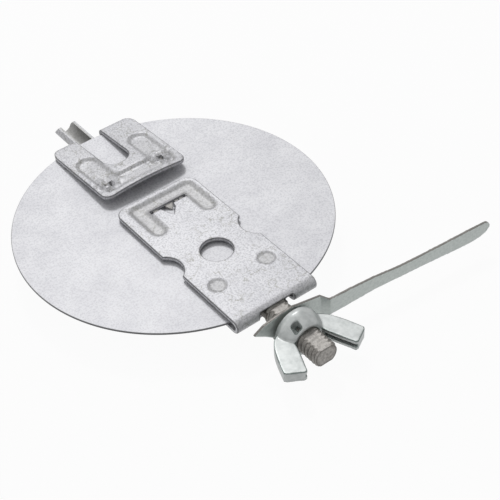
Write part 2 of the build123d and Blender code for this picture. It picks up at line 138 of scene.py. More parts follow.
def galvanised(name, light, dark, pressed, cut, roughness, metallic, marks):
    """Galvanised sheet steel: fine zinc grain, faint clouds and rubbed marks.

    A point attribute darkens it as dull pressed zinc and as painted shade on flanks, folds and
    hollows; another darkens its cuts, as bare steel and as painted shade along them.
    """
    # the real grain is about 0.2 mm; it is drawn coarser, or the eye would lose it at arm's length
    grain_mm, cloud_mm, mark_mm, cell_mm, bend_mm = 0.55, 9.0, 3.2, 3.52, 4.0
    bump_mm = 0.04
    material = bpy.data.materials.new(name)
    material.use_nodes = True
    tree = material.node_tree
    tree.nodes.clear()
    place = add_node(tree, "ShaderNodeTexCoord")
    grain = add_node(tree, "ShaderNodeTexNoise", inputs={
        "Vector": (place, "Object"), "Scale": 1000 / grain_mm, "Detail": 3.0, "Roughness": 0.6})
    cloud = add_node(tree, "ShaderNodeTexNoise", inputs={
        "Vector": (place, "Object"), "Scale": 1000 / cloud_mm, "Detail": 4.0, "Roughness": 0.6})
    skin = ramp(tree, (grain, "Fac"), [(0.36, linear(dark)), (0.56, linear(light))])
    clouds = ramp(tree, (cloud, "Fac"), [(0.35, linear("#f4f4f5")), (0.6, linear("#ffffff"))])
    clouded = add_node(tree, "ShaderNodeMix", {"data_type": "RGBA", "blend_type": "MULTIPLY"}, {
        "Factor": 1.0, "A": skin, "B": clouds})
    # hair-fine rubbed marks: thin borders of a bent cell pattern, only in some places
    wander = add_node(tree, "ShaderNodeTexNoise", inputs={
        "Vector": (place, "Object"), "Scale": 1000 / mark_mm, "Detail": 5.0, "Roughness": 0.7})
    bent = add_node(tree, "ShaderNodeVectorMath", {"operation": "MULTIPLY_ADD"}, {
        0: (wander, "Color"), 1: (bend_mm * MM,) * 3, 2: (place, "Object")})
    cells = add_node(tree, "ShaderNodeTexVoronoi", {"feature": "DISTANCE_TO_EDGE"}, {
        "Vector": (bent, "Vector"), "Scale": 1000 / cell_mm})
    line = ramp(tree, (cells, "Distance"), [(0.0, linear("#ffffff")), (0.045, linear("#000000"))])
    where = ramp(tree, (wander, "Fac"), [(0.475, linear("#000000")), (0.58, linear("#ffffff"))])
    rubbed = add_node(tree, "ShaderNodeMath", {"operation": "MULTIPLY"}, {0: line, 1: where})
    rubbed = add_node(tree, "ShaderNodeMath", {"operation": "MULTIPLY"}, {
        0: (rubbed, "Value"), 1: marks})
    marked = add_node(tree, "ShaderNodeMix", {"data_type": "RGBA", "blend_type": "MIX"}, {
        "Factor": (rubbed, "Value"), "A": (clouded, "Result"), "B": linear(pressed)})
    # painted shade with dull pressed zinc: darker on the flanks of beads and dimples, over folds
    # and inside the curl
    rubbed_and_shaded_mask = add_node(tree, "ShaderNodeAttribute", {"attribute_name": "pressed"})
    half_dulled_and_shaded = add_node(tree, "ShaderNodeMix", {"data_type": "RGBA", "blend_type": "MIX"}, {
        "Factor": 0.6, "A": (marked, "Result"), "B": linear(pressed)})
    dulled_and_shaded = add_node(tree, "ShaderNodeMix", {"data_type": "RGBA", "blend_type": "MIX"}, {
        "Factor": (rubbed_and_shaded_mask, "Fac"), "A": (marked, "Result"), "B": (half_dulled_and_shaded, "Result")})
    # bare cut steel and painted shade: dark along the cut sides, by the cut mask
    sheared_and_shaded = add_node(tree, "ShaderNodeAttribute", {"attribute_name": "sheared_and_shaded"})
    colour = add_node(tree, "ShaderNodeMix", {"data_type": "RGBA", "blend_type": "MIX"}, {
        "Factor": (sheared_and_shaded, "Fac"), "A": (dulled_and_shaded, "Result"), "B": linear(cut)})
    rough = add_node(tree, "ShaderNodeMapRange", inputs={
        "Value": (grain, "Fac"), "To Min": roughness - 0.08, "To Max": roughness + 0.12})
    bump = add_node(tree, "ShaderNodeBump", inputs={
        "Height": (grain, "Fac"), "Strength": 0.25, "Distance": bump_mm * MM})
    shader = add_node(tree, "ShaderNodeBsdfPrincipled", inputs={
        "Base Color": (colour, "Result"), "Roughness": (rough, "Result"),
        "Normal": (bump, "Normal"), "Metallic": metallic})
    add_node(tree, "ShaderNodeOutputMaterial", inputs={"Surface": (shader, "BSDF")})
    return material


def plated(name, light, dark, edge, roughness, metallic, grain_mm, bump_mm, edge_shade_by="creases"):
    """Electroplated zinc or plain rolled steel: an even skin, faint handling marks and dull edges.

    The last argument says where the painted edge shade goes: at the mesh's "creases", by the
    point attribute that mark_edges makes, or, with an axis, on all that doesn't face along it.
    """
    material = bpy.data.materials.new(name)
    material.use_nodes = True
    tree = material.node_tree
    tree.nodes.clear()
    place = add_node(tree, "ShaderNodeTexCoord")
    grain = add_node(tree, "ShaderNodeTexNoise", inputs={
        "Vector": (place, "Object"), "Scale": 1000 / grain_mm, "Detail": 4.0, "Roughness": 0.6})
    skin = ramp(tree, (grain, "Fac"), [(0.32, linear(dark)), (0.6, linear(light))])
    geometry = add_node(tree, "ShaderNodeNewGeometry")
    all_of_it, none_of_it = linear("#ffffff"), linear("#000000")
    if edge_shade_by == "creases":
        edge_shade_mask = ramp(tree, (geometry, "Pointiness"), [
            (0.42, all_of_it), (0.47, none_of_it), (0.511, none_of_it), (0.535, all_of_it)])
    elif edge_shade_by == "edge_shade_mask":
        mask = add_node(tree, "ShaderNodeAttribute", {"attribute_name": edge_shade_by})
        edge_shade_mask = ramp(tree, (mask, "Fac"), [(0.03, none_of_it), (0.1, all_of_it)])
    else:
        along = add_node(tree, "ShaderNodeSeparateXYZ", inputs={"Vector": (geometry, "Normal")})
        flat = add_node(tree, "ShaderNodeMath", {"operation": "ABSOLUTE"}, {0: (along, edge_shade_by)})
        edge_shade_mask = ramp(tree, (flat, "Value"), [(0.35, all_of_it), (0.6, none_of_it)])
    # painted shade: the edges and creases take the darker edge colour
    colour = add_node(tree, "ShaderNodeMix", {"data_type": "RGBA", "blend_type": "MIX"}, {
        "Factor": edge_shade_mask, "A": skin, "B": linear(edge)})
    rough = add_node(tree, "ShaderNodeMapRange", inputs={
        "Value": (grain, "Fac"), "To Min": roughness - 0.05, "To Max": roughness + 0.1})
    bump = add_node(tree, "ShaderNodeBump", inputs={
        "Height": (grain, "Fac"), "Strength": 0.2, "Distance": bump_mm * MM})
    shader = add_node(tree, "ShaderNodeBsdfPrincipled", inputs={
        "Base Color": (colour, "Result"), "Roughness": (rough, "Result"),
        "Normal": (bump, "Normal"), "Metallic": metallic})
    add_node(tree, "ShaderNodeOutputMaterial", inputs={"Surface": (shader, "BSDF")})
    return material


# pale, matt, faintly blue sheet with a salt-fine grain
GALVANISED_BLADE = galvanised(
    "galvanised_blade_sheet", light="#e2e2e5", dark="#c9c9cd", pressed="#c4c4c8", cut="#6a6a6c",
    roughness=0.5, metallic=0.3, marks=0.15)
# greyer, more mottled and scratched, with painted shade and dull zinc on its flanks and folds, and
# near-black painted shade on its bare cut edges
GALVANISED_CLAMP = galvanised(
    "galvanised_spring_sheet", light="#d8d8db", dark="#b0b0b4", pressed="#8f8e87", cut="#343436",
    roughness=0.47, metallic=0.35, marks=1.0)
# thin zinc plate with a faint green cast; all that doesn't face along x, its cut sides and bends,
# is a darker brown-grey: painted shade over its bare cut edges
ZINC_LEVER = plated(
    "zinc_plated_lever_sheet", light="#cfd5d2", dark="#bec5c2", edge="#75726e",
    roughness=0.4, metallic=0.5, grain_mm=0.8, bump_mm=0.02, edge_shade_by="X")
# unplated, warm brown-grey and rough, the dullest piece; painted shade darkens its thread roots,
# sharp crests and rims
ROLLED_STUD = plated(
    "rolled_thread_steel", light="#c9c5c0", dark="#96928d", edge="#7b7772",
    roughness=0.5, metallic=0.25, grain_mm=0.8, bump_mm=0.16)
# freshly torn metal: small bright facets over the dark of the window, with faint painted shade on
# their edges and creases
BRIGHT_TEAR = plated(
    "torn_steel_barb", light="#cbc9c6", dark="#8f8d89", edge="#a5a3a0",
    roughness=0.35, metallic=0.6, grain_mm=0.8, bump_mm=0.03)
# the shiniest piece: smooth bright zinc, outlined by painted shade, a dull greenish grey on its
# edges and creases
BRIGHT_NUT = plated(
    "bright_zinc_nut", light="#c8cbca", dark="#aeb2b1", edge="#6c7673",
    roughness=0.37, metallic=0.5, grain_mm=2.4, bump_mm=0.01, edge_shade_by="edge_shade_mask")


# ---------------------------------------------------------------- mesh helpers
# edges that turn by more than this stay crisp
SHARP_ANGLE = math.radians(32)


def smoothstep(start, end, value):
    """0 at start, 1 at end, with no corner between; start may be the larger."""
    t = min(max((value - start) / (end - start), 0.0), 1.0)
    return t * t * (3 - 2 * t)


def place_piece(name, mesh, material, body, replaced=()):
    """Makes the object, gives it its finish and lets it ride on its body."""
    mesh.materials.clear()
    mesh.materials.append(material)
    mesh.shade_smooth()
    mesh.set_sharp_from_angle(angle=SHARP_ANGLE)
    piece = bpy.data.objects.new(name, mesh)
    bpy.context.scene.collection.objects.link(piece)
    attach(piece, body)
    if replaced:
        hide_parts(*replaced)


def mesh_from(name, points_mm, faces, masks=None):
    """A mesh from points in millimetres, its faces turned outwards; masks are values per point."""
    mesh = bpy.data.meshes.new(name)
    mesh.from_pydata([Vector(p) * MM for p in points_mm], [], faces)
    for key, values in (masks or {}).items():
        mesh.attributes.new(key, "FLOAT", "POINT").data.foreach_set("value", values)
    work = bmesh.new()
    work.from_mesh(mesh)
    bmesh.ops.remove_doubles(work, verts=work.verts, dist=1e-7)
    bmesh.ops.recalc_face_normals(work, faces=work.faces)
    work.to_mesh(mesh)
    work.free()
    return mesh


def arc_points(cu, cv, radius, start_deg, end_deg, steps):
    """Points of an arc about (cu, cv)."""
    return [(cu + radius * math.cos(math.radians(start_deg + (end_deg - start_deg) * i / steps)),
             cv + radius * math.sin(math.radians(start_deg + (end_deg - start_deg) * i / steps)))
            for i in range(steps + 1)]


def even(loop, step):
    """The closed loop with its long sides divided to about the step."""
    result = []
    for i, a in enumerate(loop):
        b = loop[(i + 1) % len(loop)]
        parts = max(1, round(math.dist(a, b) / step))
        result += [(a[0] + (b[0] - a[0]) * k / parts, a[1] + (b[1] - a[1]) * k / parts)
                   for k in range(parts)]
    return result


def inside(points, loop):
    """Which points lie inside the loop."""
    px, py = points[:, 0], points[:, 1]
    hit = np.zeros(len(points), bool)
    for (ax, ay), (bx, by) in zip(loop, loop[1:] + loop[:1]):
        if ay == by:
            continue
        crosses = (ay > py) != (by > py)
        hit ^= crosses & (px < (bx - ax) * (py - ay) / (by - ay) + ax)
    return hit


def formed_sheet(name, outer, holes, spacing, form, rub_and_shade, roll=0.22):
    """Cuts a flat blank along its loops and forms it into a closed sheet with rolled edges.

    form(u, v, depth) places a point, with depth 0 on the show face and 1 on the back;
    the darkening function gives, at (u, v), how much it is darkened as dull zinc and as painted
    shade; roll is the width of the rolled edge.
    """
    outer = even(outer, spacing)
    holes = [even(hole, spacing * 0.8) for hole in holes]
    loop_points = np.array([p for loop in [outer] + holes for p in loop])
    low_uv, high_uv = loop_points.min(0), loop_points.max(0)
    us = np.arange(low_uv[0] + spacing / 2, high_uv[0], spacing)
    vs = np.arange(low_uv[1] + spacing / 2, high_uv[1], spacing)
    grid = np.array([(u, v + (k % 2) * spacing / 2) for k, u in enumerate(us) for v in vs])
    keep = inside(grid, outer)
    for hole in holes:
        keep &= ~inside(grid, hole)
    grid = grid[keep]
    # grid points close to a cut would make slivers
    gap = np.array([np.min(np.hypot(*(loop_points - p).T)) for p in grid])
    grid = grid[gap > spacing * 0.55]
    flat = [Vector(p) for p in loop_points] + [Vector(p) for p in grid]
    edges, start = [], 0
    for loop in [outer] + holes:
        edges += [(start + i, start + (i + 1) % len(loop)) for i in range(len(loop))]
        start += len(loop)
    verts, _, triangles, *_ = delaunay_2d_cdt(flat, edges, [], 0, 1e-5)
    verts = np.array([tuple(v) for v in verts])
    centres = np.array([verts[list(t)].mean(0) for t in triangles])
    keep = inside(centres, outer)
    for hole in holes:
        keep &= ~inside(centres, hole)
    triangles = [tuple(t) for t, k in zip(triangles, keep) if k]
    # the rim is every side that only one triangle has
    sides = dict.fromkeys((a, b) for t in triangles for a, b in zip(t, t[1:] + t[:1]))
    rim = [(a, b) for a, b in sides if (b, a) not in sides]
    inward = {}
    for a, b in rim:
        run = verts[b] - verts[a]
        normal = np.array((-run[1], run[0])) / max(np.hypot(*run), 1e-9)
        for k in (a, b):
            inward[k] = inward.get(k, 0) + normal
    shrunk = verts.copy()
    for k, normal in inward.items():
        shrunk[k] = verts[k] + normal / max(np.hypot(*normal), 1e-9) * roll
    points = [form(u, v, 0.0) for u, v in shrunk] + [form(u, v, 1.0) for u, v in shrunk]
    count = len(verts)
    pressed = [rub_and_shade(u, v) for u, v in shrunk] * 2
    # painted shade: the face's points along each cut are darkened a little
    sheared_and_shaded = [0.35 if k in inward else 0.0 for k in range(count)] * 2
    faces = list(triangles) + [tuple(count + k for k in reversed(t)) for t in triangles]
    # the cut side: painted dark lines along its rolled top and along its bottom, for the shade
    # there, and its own lighter colour between
    side_rings = (
        (roll * 0.7 / SHEET, 1.0), (0.25, 0.0), (0.75, 0.0), (1 - roll * 0.5 / SHEET, 1.0))
    ring = [dict() for _ in side_rings]
    for k in inward:
        for row, (depth, mask) in zip(ring, side_rings):
            row[k] = len(points)
            points.append(form(verts[k][0], verts[k][1], depth))
            pressed.append(0.0)
            sheared_and_shaded.append(mask)
    down = [{k: k for k in inward}] + ring + [{k: count + k for k in inward}]
    for a, b in rim:
        for above, below in zip(down, down[1:]):
            faces.append((above[b], above[a], below[a], below[b]))
    return mesh_from(name, points, faces, {"pressed": pressed, "sheared_and_shaded": sheared_and_shaded})


def grid_solid(outside, within):
    """Points and faces of the closed shell between two equal grids of points."""
    rows, columns = len(outside), len(outside[0])
    points = [p for grid in (outside, within) for row in grid for p in row]

    def at(r, c, side):
        return (side * rows + r) * columns + c

    faces = []
    for r in range(rows - 1):
        for c in range(columns - 1):
            faces.append((at(r, c, 0), at(r, c + 1, 0), at(r + 1, c + 1, 0), at(r + 1, c, 0)))
            faces.append((at(r, c, 1), at(r + 1, c, 1), at(r + 1, c + 1, 1), at(r, c + 1, 1)))
    for r in range(rows - 1):
        for c in (0, columns - 1):
            faces.append((at(r, c, 0), at(r + 1, c, 0), at(r + 1, c, 1), at(r, c, 1)))
    for c in range(columns - 1):
        for r in (0, rows - 1):
            faces.append((at(r, c, 0), at(r, c + 1, 0), at(r, c + 1, 1), at(r, c, 1)))
    return points, faces


def box_distance(u, v, u0, u1, v0, v1, radius):
    """Signed distance to a rectangle with rounded corners, negative inside."""
    du = abs(u - (u0 + u1) / 2) - (u1 - u0) / 2 + radius
    dv = abs(v - (v0 + v1) / 2) - (v1 - v0) / 2 + radius
    return math.hypot(max(du, 0), max(dv, 0)) + min(max(du, dv), 0) - radius


# ---------------------------------------------------------------- blade
def make_blade():
    """The disc, with its sheared rim broken by a small roll."""
    segments, roll = 360, 0.12
    # radius, height and how dark the rim is painted, as bare cut steel and as painted shade, from
    # the top face round to the bottom one
    rings = [
        (BLADE_R - 2 * roll, BLADE_TOP, 0.0),
        (BLADE_R - roll, BLADE_TOP, 0.6),
        (BLADE_R, BLADE_TOP - roll, 1.0),
        (BLADE_R, BLADE_LOW + roll, 1.0),
        (BLADE_R - roll, BLADE_LOW, 0.6),
        (BLADE_R - 2 * roll, BLADE_LOW, 0.0),
    ]
    turns = [2 * math.pi * k / segments for k in range(segments)]
    points = [(r * math.cos(t), r * math.sin(t), z) for r, z, _ in rings for t in turns]
    masks = {"sheared_and_shaded": [mask for _, _, mask in rings for _ in turns]}
    last = (len(rings) - 1) * segments
    faces = [tuple(range(segments)), tuple(reversed(range(last, last + segments)))]
    for ring in range(len(rings) - 1):
        for k in range(segments):
            a, b = ring * segments + k, ring * segments + (k + 1) % segments
            faces.append((b, a, a + segments, b + segments))
    mesh = mesh_from("blade_disc", points, faces, masks)
    place_piece(
        "blade_disc", mesh, GALVANISED_BLADE, "blade_assembly", ["blade"])


make_blade()

# ---------------------------------------------------------------- handle clamp
# The blank's u is x on the top leaf; past the fold it runs round it and back along the lower leaf.
HC_END = -11.0
HC_HALF = 13.9
HC_FOLD_X = 48.2
HC_FOLD_Z = 2.3
HC_FOLD_OUT = 2.2
HC_FOLD_MID = 1.55
HC_FOLD_RUN = math.pi * HC_FOLD_MID
HC_TOP = 4.5
HC_LOW_Z = 0.1
HC_LOW_RISE = 0.45
HC_LOW_END = -8.0
HC_CORNER = 3.8
HC_NOTCH_X = 19.75
HC_NOTCH_Y = 17.05
HC_NOTCH_R = 5.95
HC_HOLE_X = 22.2
HC_HOLE_R = 4.9
HC_DIMPLE_X = 34.2
HC_DIMPLES_Y = (-8.65, 8.65)
HC_DIMPLE_DEPTH = 0.45
# a dimple's radii: the foot of its flank, its rim, and how far its painted shade and dull zinc
# reach
HC_DIMPLE_FOOT = 2.3
HC_DIMPLE_RIM = 2.75
HC_DIMPLE_SHADE_REACH = 2.9
# the lower leaf's pocket for the stud's T head and spade: near and far x, y, corner radius
HC_POCKET_HEAD = (30.1, 39.5, -12.5, 12.5, 0.8)
HC_POCKET_NECK = (36.0, 52.0, -5.45, 5.45, 0.6)
HC_POCKET_DEPTH = 1.8
PRESS = 0.95
PRESS_BACK = 0.63
BEAD_X = 0.4
BEAD_Y = 1.0
# the U bead about (BEAD_X, BEAD_Y): far and near ends, the inner edge of its base, then the
# inner and outer edges of its arms
BEAD_END = -9.6
BEAD_ARM_END = 6.3
BEAD_BASE = -4.9
BEAD_IN = 6.4
BEAD_OUT = 11.5
# a bead's flank runs from this far outside its outline to this far inside
BEAD_FLANK = (0.5, -1.25)
WINDOW_NEAR = -3.5
BARB_ROOT_Z = 3.75
BARB_FOOT_Z = 2.75


def hc_bead(u, v):
    """0 to 1: how far the sheet is pressed down in the U bead."""
    u, v = u - BEAD_X, abs(v - BEAD_Y)
    arm = box_distance(u, v, BEAD_END, BEAD_ARM_END, BEAD_IN, BEAD_OUT, radius=2.4)
    base = box_distance(u, v, BEAD_END, BEAD_BASE, -BEAD_OUT, BEAD_OUT, radius=2.2)
    return smoothstep(*BEAD_FLANK, min(arm, base))


def hc_rub_and_shade(u, v):
    """How much the clamp is darkened: dull pressed zinc and painted shade."""
    # painted shade over the fold's face, which turns away from the light
    if u > HC_FOLD_X - 1.5:
        return 0.3 * smoothstep(HC_FOLD_X - 1.5, HC_FOLD_X + 2, u)
    away = min(math.hypot(u - HC_DIMPLE_X, v - centre) for centre in HC_DIMPLES_Y)
    dimple = smoothstep(HC_DIMPLE_SHADE_REACH, HC_DIMPLE_FOOT, away)
    bead = hc_bead(u, v)
    # painted shade: darkest on the flanks of the bead and the dimples, less on their floors
    return min(1.0, 0.5 * bead + 1.1 * bead * (1 - bead)
               + 0.5 * dimple + 0.9 * dimple * (1 - dimple))


def hc_form(u, v, depth):
    """A point of the formed sheet: top leaf, fold, then lower leaf with the stud's pocket."""
    if u <= HC_FOLD_X:
        # the sheet thins where it is drawn, so the back goes down less than the show face
        z = HC_TOP - (PRESS + (PRESS_BACK - PRESS) * depth) * hc_bead(u, v)
        for centre in HC_DIMPLES_Y:
            away = math.hypot(u - HC_DIMPLE_X, v - centre)
            z -= HC_DIMPLE_DEPTH * smoothstep(HC_DIMPLE_RIM, HC_DIMPLE_FOOT, away)
        # the leaf dips a little along its open end
        z -= 0.12 * smoothstep(-7.5, HC_END, u)
        return (u, v, z - SHEET * depth)
    if u <= HC_FOLD_X + HC_FOLD_RUN:
        angle = (u - HC_FOLD_X) / HC_FOLD_MID
        radius = HC_FOLD_OUT - SHEET * depth
        return (HC_FOLD_X + radius * math.sin(angle), v, HC_FOLD_Z + radius * math.cos(angle))
    x = HC_FOLD_X - (u - HC_FOLD_X - HC_FOLD_RUN)
    pocket = min(box_distance(x, v, *HC_POCKET_HEAD), box_distance(x, v, *HC_POCKET_NECK))
    # past the pocket the leaf rises to the blade
    z = HC_LOW_Z + HC_LOW_RISE * smoothstep(30, 26, x)
    z -= HC_POCKET_DEPTH * smoothstep(0.0, -0.9, pocket)
    return (x, v, z + SHEET * depth)


def torn_barb(y, width, length):
    """Points and faces of one barb, rooted under the bead's base and bent down to the blade."""
    root, tip = BEAD_BASE - 0.5 + BEAD_X, BEAD_BASE + BEAD_X + length
    left, right, bend = y - width / 2, y + width / 2, root + 0.9
    points = [
        (root, left, BARB_ROOT_Z), (root, right, BARB_ROOT_Z), (tip, y, BLADE_TOP + 0.35),
        (root, left, BARB_FOOT_Z), (root, right, BARB_FOOT_Z), (tip, y, BLADE_TOP + CONTACT),
        (bend, left, BARB_ROOT_Z - 0.2), (bend, right, BARB_ROOT_Z - 0.2),
        (bend, left, BLADE_TOP + 0.12), (bend, right, BLADE_TOP + 0.12),
    ]
    faces = [
        (0, 6, 7, 1), (6, 2, 7), (3, 4, 9, 8), (8, 9, 5), (0, 3, 8, 6), (6, 8, 5, 2),
        (1, 7, 9, 4), (7, 2, 5, 9), (0, 1, 4, 3)]
    return points, faces


def joined(parts):
    """One list of points and one of faces from several (points, faces)."""
    points, faces = [], []
    for part_points, part_faces in parts:
        faces += [tuple(len(points) + k for k in face) for face in part_faces]
        points += part_points
    return points, faces


def make_handle_clamp():
    """The near clamp with its cut outs, and the barbs torn from its window."""
    far = HC_FOLD_X + HC_FOLD_RUN + HC_FOLD_X - HC_LOW_END
    notch = math.degrees(math.acos((HC_NOTCH_Y - HC_HALF) / HC_NOTCH_R))
    outer = arc_points(HC_END + HC_CORNER, HC_CORNER - HC_HALF, HC_CORNER, 180, 270, 8)
    outer += arc_points(HC_NOTCH_X, -HC_NOTCH_Y, HC_NOTCH_R, 90 + notch, 90 - notch, 16)
    outer += [(far - LEAF_CUT, -HC_HALF), (far, LEAF_CUT - HC_HALF),
              (far, HC_HALF - LEAF_CUT), (far - LEAF_CUT, HC_HALF)]
    outer += arc_points(HC_NOTCH_X, HC_NOTCH_Y, HC_NOTCH_R, notch - 90, -90 - notch, 16)
    outer += arc_points(HC_END + HC_CORNER, HC_HALF - HC_CORNER, HC_CORNER, 90, 180, 8)
    # a point every 6 degrees
    hole = arc_points(HC_HOLE_X, 0, HC_HOLE_R, 0, 354, 59)
    window = [
        (BEAD_BASE, -BEAD_IN), (WINDOW_NEAR, -BEAD_IN), (WINDOW_NEAR, -3.2), (0.9, -1.4),
        (-1.8, 0.9), (WINDOW_NEAR, 1.2), (WINDOW_NEAR, BEAD_IN), (BEAD_BASE, BEAD_IN)]
    window = [(u + BEAD_X, v + BEAD_Y) for u, v in window]
    # the stud comes out of the fold through a slot
    slot_near = HC_FOLD_X + 0.9 * HC_FOLD_MID
    slot_far = HC_FOLD_X + HC_FOLD_RUN + 1.0
    half, cut = 6.1, 0.5
    slot = [(slot_near, cut - half), (slot_near + cut, -half), (slot_far, -half),
            (slot_far, half), (slot_near + cut, half), (slot_near, half - cut)]
    mesh = formed_sheet(
        "handle_clamp_sheet", outer, [hole, window, slot], SHEET_STEP, hc_form, hc_rub_and_shade)
    place_piece(
        "handle_clamp_sheet", mesh, GALVANISED_CLAMP, "blade_assembly",
        ["handle_clamp"])
    # y, width and length: the centre barb, then the uneven teeth beside it
    barbs = ((0.4, 2.6, 2.3), (-4.4, 1.6, 1.5), (3.2, 1.3, 1.3), (4.9, 1.3, 1.4))
    parts = [torn_barb(y + BEAD_Y, width, length) for y, width, length in barbs]
    mesh = mesh_from("window_barbs", *joined(parts))
    place_piece("window_barbs", mesh, BRIGHT_TEAR, "blade_assembly")


# ---------------------------------------------------------------- pivot clamp
# The blank's u is 0 at the fold, positive on the top leaf and negative on the lower one; its v
# is y less PC_SHIFT.
PC_FOLD_X = -48.3
PC_NEAR_X = -16.0
PC_HALF = 15.0
PC_SHIFT = 2.0
PC_CORNER = 3.0
PC_BACK_CORNER = 4.5
PC_BACK_X = -45.45
PC_SLOT_SHIFT = 0.9
PC_SLOT_HALF = 4.55
PC_SLOT_END = -28.65
PC_SLOT_R = 4.4
PC_FOLD_OUT = 1.65
PC_FOLD_MID = 1.0
PC_FOLD_RUN = math.pi * PC_FOLD_MID
PC_FOLD_Z = 2.2
PC_PRESS = 1.0
# the top leaf rises from the fold to its near end, most along its bowed middle
PC_RISE = 2.0
PC_BOW = 1.2
PC_BOW_HALF = 15.5
# its U bead: far end, base and near end, inner and outer edges of its arms
PC_BEAD_END = -38.65
PC_BEAD_BASE = -24.2
PC_BEAD_NEAR = -18.2
PC_BEAD_IN = 6.1
PC_BEAD_OUT = 13.1
PC_BEAD_FLANK = (0.5, -0.9)
PC_LOW_END = -20.3
LANCE_X = -22.65
LANCES_Y = (-9.6, 9.6)
# the crumple round the lances: its depth, its waves per mm, and how far off it starts and is full
CRUMPLE = 1.5
CRUMPLE_WAVES = 0.8
CRUMPLE_REACH = (6.5, 1.0)
TONGUE_HALF = 3.9
TONGUE_RUN = 6.3
PIN_R = 3.6
PIN_WALL = 1.1
PIN_RIM_Z = 1.75
PIN_ROOT_X = -49.3
PIN_RIM_END = -61.2
PIN_TIP = -63.6
SCOOP_X = -42.0


def pc_bead(x, v):
    """0 to 1: how far the sheet is pressed down in the U bead."""
    arm = box_distance(
        x, abs(v), PC_BEAD_END, PC_BEAD_NEAR, PC_BEAD_IN, PC_BEAD_OUT, radius=3.3)
    base = box_distance(
        x, v, PC_BEAD_BASE, PC_BEAD_NEAR, -PC_BEAD_OUT, PC_BEAD_OUT, radius=2.6)
    return smoothstep(*PC_BEAD_FLANK, min(arm, base))


def pc_rub_and_shade(u, v):
    """How much the clamp is darkened: dull pressed zinc and painted shade."""
    bead = pc_bead(PC_FOLD_X + u, v) if u > 0 else 0.0
    # painted shade: darkest on the bead's flanks
    return 0.15 * bead + 1.5 * bead * (1 - bead)


def pc_form(u, v, depth):
    """A point of the formed sheet: bowed top leaf, fold, then flat lower leaf."""
    y = v + PC_SHIFT
    if u >= 0:
        x = PC_FOLD_X + u
        along = u / (PC_NEAR_X + 1 - PC_FOLD_X)
        z = PC_FOLD_Z + PC_FOLD_OUT + along * (PC_RISE + PC_BOW * (1 - (v / PC_BOW_HALF) ** 2))
        sink = PC_PRESS * pc_bead(x, v)
        # the pressed bead crumples round the two pierced lances
        for centre in LANCES_Y:
            away = math.hypot(x - LANCE_X - 0.05, v - centre)
            crumple = noise.noise(Vector((x * CRUMPLE_WAVES, v * CRUMPLE_WAVES, centre)))
            sink += CRUMPLE * crumple * smoothstep(*CRUMPLE_REACH, away)
        # the back stays just clear of the blade
        room = z - SHEET - BLADE_TOP - 0.01
        return (x, y, z - min(sink, room) - SHEET * depth)
    if u >= -PC_FOLD_RUN:
        angle = -u / PC_FOLD_MID
        radius = PC_FOLD_OUT - SHEET * depth
        return (PC_FOLD_X - radius * math.sin(angle), y, PC_FOLD_Z + radius * math.cos(angle))
    return (PC_FOLD_X - u - PC_FOLD_RUN, y, PC_FOLD_Z - PC_FOLD_OUT + SHEET * depth)


def pc_side(u):
    """Half width of the blank where the folded corners are rounded."""
    if u >= 0:
        x = PC_FOLD_X + u
    elif u >= -PC_FOLD_RUN:
        x = PC_FOLD_X - 1.6 * math.sin(-u / PC_FOLD_MID)
    else:
        x = PC_FOLD_X - u - PC_FOLD_RUN
    back = max(0.0, PC_BACK_X - x)
    return PC_HALF - PC_BACK_CORNER + math.sqrt(max(PC_BACK_CORNER ** 2 - back ** 2, 0.0))


def arc_through(half, rim, floor, w):
    """A point of the arc from rim to rim over the floor, w from -1 to 1.

    half is half the width at the rims.
    """
    sag = max(rim - floor, 1e-3)
    radius = (half ** 2 + sag ** 2) / (2 * sag)
    spread = math.asin(min(1.0, half / radius))
    if sag >= radius:
        spread = math.pi - spread
    return radius * math.sin(w * spread), floor + radius - radius * math.cos(w * spread)


def pivot_tongue():
    """Grids of points of the tongue's outside and inside, from the scoop to the pin's tip."""
    around, outside, within = 28, [], []
    stations = [SCOOP_X + (PIN_ROOT_X - SCOOP_X) * k / 14 for k in range(15)]
    stations += [PIN_ROOT_X + (PIN_TIP - PIN_ROOT_X) * k / 16 for k in range(1, 17)]
    pin_out = math.sqrt(PIN_R ** 2 - PIN_RIM_Z ** 2)
    pin_in = math.sqrt((PIN_R - PIN_WALL) ** 2 - PIN_RIM_Z ** 2) + 0.35
    # half width, rim and floor of the arc where the tongue leaves the leaf, and on the pin
    outer_arcs = ((TONGUE_HALF, 0.75, 0.55), (pin_out, PIN_RIM_Z, -PIN_R))
    inner_arcs = ((TONGUE_HALF, 1.83, 1.80), (pin_in, PIN_RIM_Z, PIN_WALL - PIN_R))
    for x in stations:
        t = min(1.0, (x - SCOOP_X) / (PIN_ROOT_X - SCOOP_X))
        outer_arc, inner_arc = (
            [a + (b - a) * t for a, b in zip(*arcs)] for arcs in (outer_arcs, inner_arcs))
        out_row, in_row = [], []
        for k in range(around + 1):
            w = -1 + 2 * k / around
            y_out, z_out = arc_through(*outer_arc, w)
            y_in, z_in = arc_through(*inner_arc, w)
            x_here = x
            if x < PIN_ROOT_X:
                # the curl's tip is cut back towards its rims
                reach = smoothstep(PIN_RIM_Z, -PIN_R / 2, z_out) ** 0.7
                end = PIN_RIM_END + (PIN_TIP - PIN_RIM_END) * reach
                x_here = PIN_ROOT_X + (x - PIN_ROOT_X) * (end - PIN_ROOT_X) / (PIN_TIP - PIN_ROOT_X)
            out_row.append((x_here, y_out, z_out))
            in_row.append((x_here, y_in, z_in))
        outside.append(out_row)
        within.append(in_row)
    return outside, within


def lance_tongue(y):
    """Points and faces of the small tongue that a lance pushes down to the blade."""
    top, thick, half, foot = 4.6, 1.1, 1.2, BLADE_TOP + CONTACT
    root, heel = LANCE_X - 1.25, LANCE_X - 1.65
    points = [
        (root, y - half, top), (root, y + half, top), (LANCE_X + 0.95, y, foot + 0.3),
        (heel, y - half, top - thick), (heel, y + half, top - thick), (LANCE_X + 0.25, y, foot)]
    faces = [(0, 2, 1), (3, 4, 5), (0, 3, 5, 2), (1, 2, 5, 4), (0, 1, 4, 3)]
    return points, faces


